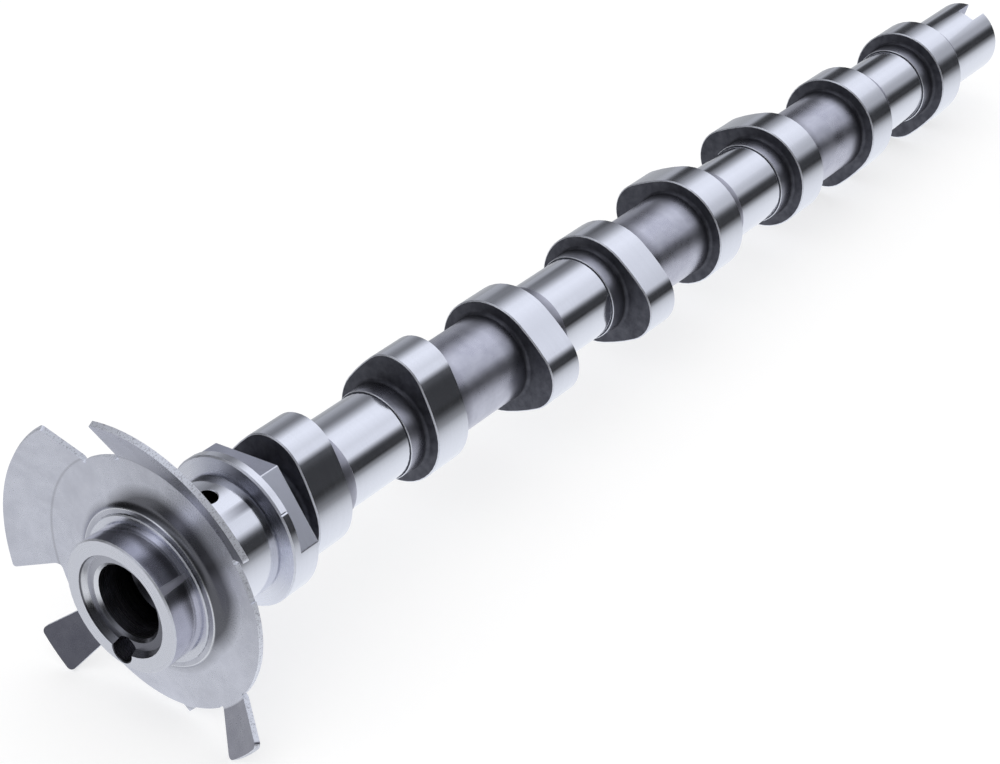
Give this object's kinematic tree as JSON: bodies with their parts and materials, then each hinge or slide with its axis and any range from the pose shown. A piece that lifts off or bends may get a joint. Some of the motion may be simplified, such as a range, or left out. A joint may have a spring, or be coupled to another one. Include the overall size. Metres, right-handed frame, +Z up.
{
  "type": "camshaft",
  "caption": "Steel camshaft with paired lobes, ground journals, a hexagon flange, a slotted rear end and a pressed-on sensor wheel with bent vanes.",
  "frame": {"origin": "centre of the hub's front face, on the shaft's axis", "axes": "+X along the shaft from the hub to the slotted rear end, +Z up as the shaft lies on its sensor wheel's two narrow vanes, +Y level"},
  "size_m": [0.4148, 0.083, 0.0831],
  "materials": {
    "cast_and_ground_steel": "ground bright on the journals, lobes and hub, satin as cast between them",
    "sheet_steel": "satin rolled sheet with sheared edges"
  },
  "bodies": {
    "root": {"camshaft": "cast_and_ground_steel", "sensor_wheel": "sheet_steel"}
  },
  "joints": []
}
